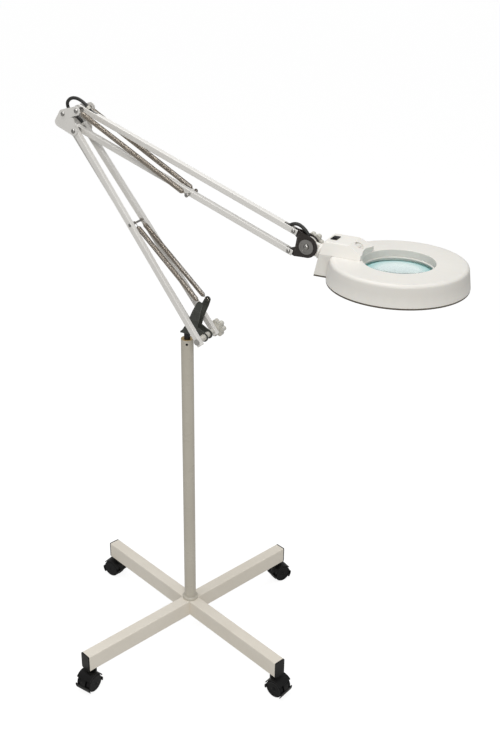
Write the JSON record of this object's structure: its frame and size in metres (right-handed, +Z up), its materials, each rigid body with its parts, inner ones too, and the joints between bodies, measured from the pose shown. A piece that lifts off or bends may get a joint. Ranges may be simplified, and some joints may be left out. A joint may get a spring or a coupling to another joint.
{
  "type": "magnifying_lamp",
  "caption": "Floor-standing magnifier lamp: round lens in a ring-light shade on a spring-balanced folding arm, with a tube column on a cross base with casters",
  "frame": {"origin": "on the floor under the column, on the column's axis, which is also the axis the arm swivels about", "axes": "+Z up; +X along the arm's plane towards the head at rest; +Y across the arm"},
  "size_m": [0.8369, 0.5845, 1.1711],
  "materials": {
    "leg_paint": "semi-gloss cream enamel on steel tube",
    "column_paint": "semi-gloss warm beige enamel",
    "black_plastic": "moulded black nylon",
    "wheel_black": "hard black tread",
    "zinc": "zinc-plated, slightly dull",
    "brass": "plain turned brass",
    "blackened_steel": "blackened steel",
    "bracket_paint": "grey-green enamel on pressed steel",
    "head_bracket_paint": "dark brown enamel on pressed steel",
    "axle_steel": "plated steel bolt",
    "pale_plastic": "moulded pale grey plastic",
    "arm_paint": "semi-gloss white enamel",
    "spring_wire": "nickelled spring wire",
    "head_plastic": "moulded warm white plastic, satin gloss",
    "rim_plastic": "grey-brown moulded edging",
    "lens_glass": "clear polished glass with a green-blue edge",
    "lamp_glass": "milky phosphor-coated glass",
    "rocker_plastic": "black moulded rocker",
    "ballast_steel": "laminated steel block",
    "cable_rubber": "dark grey sheathed cable"
  },
  "bodies": {
    "base": {"leg_tube_through": "leg_paint", "leg_tube_halves": "leg_paint", "leg_end_caps": "black_plastic", "column_tube": "column_paint", "column_foot": "column_paint", "base_bolt": "zinc", "column_bush": "brass", "set_screw": "blackened_steel", "caster_stems": "zinc"},
    "caster_front_right": {"caster_hood_front_right": "black_plastic"},
    "wheels_front_right": {"caster_wheels_front_right": "wheel_black"},
    "caster_front_left": {"caster_hood_front_left": "black_plastic"},
    "wheels_front_left": {"caster_wheels_front_left": "wheel_black"},
    "caster_back_left": {"caster_hood_back_left": "black_plastic"},
    "wheels_back_left": {"caster_wheels_back_left": "wheel_black"},
    "caster_back_right": {"caster_hood_back_right": "black_plastic"},
    "wheels_back_right": {"caster_wheels_back_right": "wheel_black"},
    "bracket": {"arm_bracket": "bracket_paint", "bracket_spindle": "blackened_steel", "lower_axle": "axle_steel", "axle_rollers": "pale_plastic", "rear_link_pin": "zinc"},
    "lower_knob": {"lower_knob": "pale_plastic"},
    "lower_arm": {"lower_bar_near": "arm_paint", "lower_bar_far": "arm_paint", "lower_spring_pin": "zinc", "lower_springs": "spring_wire", "cable_lower": "cable_rubber"},
    "rear_link": {"rear_link": "arm_paint"},
    "elbow": {"elbow_plate_near": "arm_paint", "elbow_plate_far": "arm_paint", "elbow_axle": "zinc", "elbow_posts": "zinc", "rear_link_top_pin": "arm_paint", "upper_springs": "spring_wire"},
    "upper_arm": {"upper_bottom_bar": "arm_paint", "upper_spring_pin": "zinc"},
    "upper_top": {"upper_top_bar": "arm_paint", "cable_bush": "pale_plastic", "cable_top_bar": "cable_rubber", "cable_elbow": "cable_rubber"},
    "head_bracket": {"head_bracket": "head_bracket_paint", "bracket_screws": "zinc", "tilt_bolt": "zinc", "cable_head_loop": "cable_rubber"},
    "head_knob": {"head_knob": "pale_plastic"},
    "head_lug": {"head_lug": "head_plastic"},
    "head": {"shade": "head_plastic", "shade_rim": "rim_plastic", "neck_cover": "head_plastic", "neck_base_plate": "head_plastic", "cover_screws": "blackened_steel", "lens": "lens_glass", "lens_ring": "head_plastic", "lamp_tube": "lamp_glass", "lamp_holder": "head_plastic", "starter": "head_plastic", "switch_housing": "black_plastic", "ballast": "ballast_steel"},
    "rocker": {"rocker": "rocker_plastic"}
  },
  "joints": [
    {"name": "caster_swivel_front_right", "type": "hinge", "parent": "base", "child": "caster_front_right", "pos_m": [0.25135, -0.09298, 0.05], "axis": [0, 0, 1], "continuous": true},
    {"name": "wheel_roll_front_right", "type": "hinge", "parent": "caster_front_right", "child": "wheels_front_right", "pos_m": [0.26597, -0.09635, 0.02], "axis": [0.225, 0.9744, 0], "continuous": true},
    {"name": "caster_swivel_front_left", "type": "hinge", "parent": "base", "child": "caster_front_left", "pos_m": [-0.09298, -0.25135, 0.05], "axis": [0, 0, 1], "continuous": true},
    {"name": "wheel_roll_front_left", "type": "hinge", "parent": "caster_front_left", "child": "wheels_front_left", "pos_m": [-0.09481, -0.26624, 0.02], "axis": [0.9925, -0.1219, 0], "continuous": true},
    {"name": "caster_swivel_back_left", "type": "hinge", "parent": "base", "child": "caster_back_left", "pos_m": [-0.25135, 0.09298, 0.05], "axis": [0, 0, 1], "continuous": true},
    {"name": "wheel_roll_back_left", "type": "hinge", "parent": "caster_back_left", "child": "wheels_back_left", "pos_m": [-0.26624, 0.09481, 0.02], "axis": [-0.1219, -0.9925, 0], "continuous": true},
    {"name": "caster_swivel_back_right", "type": "hinge", "parent": "base", "child": "caster_back_right", "pos_m": [0.09298, 0.25135, 0.05], "axis": [0, 0, 1], "continuous": true},
    {"name": "wheel_roll_back_right", "type": "hinge", "parent": "caster_back_right", "child": "wheels_back_right", "pos_m": [0.1007, 0.26421, 0.02], "axis": [-0.8572, 0.515, 0], "continuous": true},
    {"name": "arm_swivel", "type": "hinge", "parent": "base", "child": "bracket", "pos_m": [0, 0, 0.724], "axis": [0, 0, 1], "continuous": true},
    {"name": "lower_lean", "type": "hinge", "parent": "bracket", "child": "lower_arm", "pos_m": [0.0427, 0, 0.7391], "axis": [0, 1, 0], "range_deg": [-5, 60], "deforming": ["lower_springs", "cable_elbow"]},
    {"name": "rear_link_follow", "type": "hinge", "parent": "bracket", "child": "rear_link", "pos_m": [0.01053, 0, 0.75285], "axis": [0, 1, 0], "range_deg": [-5, 60]},
    {"name": "elbow_level", "type": "hinge", "parent": "lower_arm", "child": "elbow", "pos_m": [-0.22732, 0, 1.11212], "axis": [0, 1, 0], "range_deg": [-60, 5]},
    {"name": "upper_lean", "type": "hinge", "parent": "elbow", "child": "upper_arm", "pos_m": [-0.22732, 0, 1.11212], "axis": [0, 1, 0], "range_deg": [-45, 18], "deforming": ["upper_springs", "cable_elbow", "cable_head_loop"]},
    {"name": "upper_top_follow", "type": "hinge", "parent": "elbow", "child": "upper_top", "pos_m": [-0.21862, 0, 1.15042], "axis": [0, 1, 0], "range_deg": [-45, 18]},
    {"name": "bracket_level", "type": "hinge", "parent": "upper_arm", "child": "head_bracket", "pos_m": [0.21441, 0, 0.943], "axis": [0, 1, 0], "range_deg": [-18, 45]},
    {"name": "head_tilt", "type": "hinge", "parent": "head_bracket", "child": "head_lug", "pos_m": [0.25011, 0, 0.957], "axis": [0, 1, 0], "range_deg": [-50, 50], "deforming": ["cable_head_loop"]},
    {"name": "head_twist", "type": "hinge", "parent": "head_lug", "child": "head", "pos_m": [0.25011, 0, 0.957], "axis": [0.9755, 0, -0.2198], "range_deg": [-90, 90]},
    {"name": "lower_knob_turn", "type": "hinge", "parent": "bracket", "child": "lower_knob", "pos_m": [0.0427, 0.04, 0.7391], "axis": [0, 1, 0], "continuous": true},
    {"name": "head_knob_turn", "type": "hinge", "parent": "head_bracket", "child": "head_knob", "pos_m": [0.25011, 0.02, 0.957], "axis": [0, 1, 0], "continuous": true},
    {"name": "rocker_tip", "type": "hinge", "parent": "head", "child": "rocker", "pos_m": [0.302, 0, 0.977], "axis": [1, 0, 0], "range_deg": [0, 16]}
  ],
  "couplings": [
    {"joint": "rear_link_follow", "follows": "lower_lean", "ratio": 1},
    {"joint": "elbow_level", "follows": "lower_lean", "ratio": -1},
    {"joint": "upper_top_follow", "follows": "upper_lean", "ratio": 1},
    {"joint": "bracket_level", "follows": "upper_lean", "ratio": -1}
  ]
}
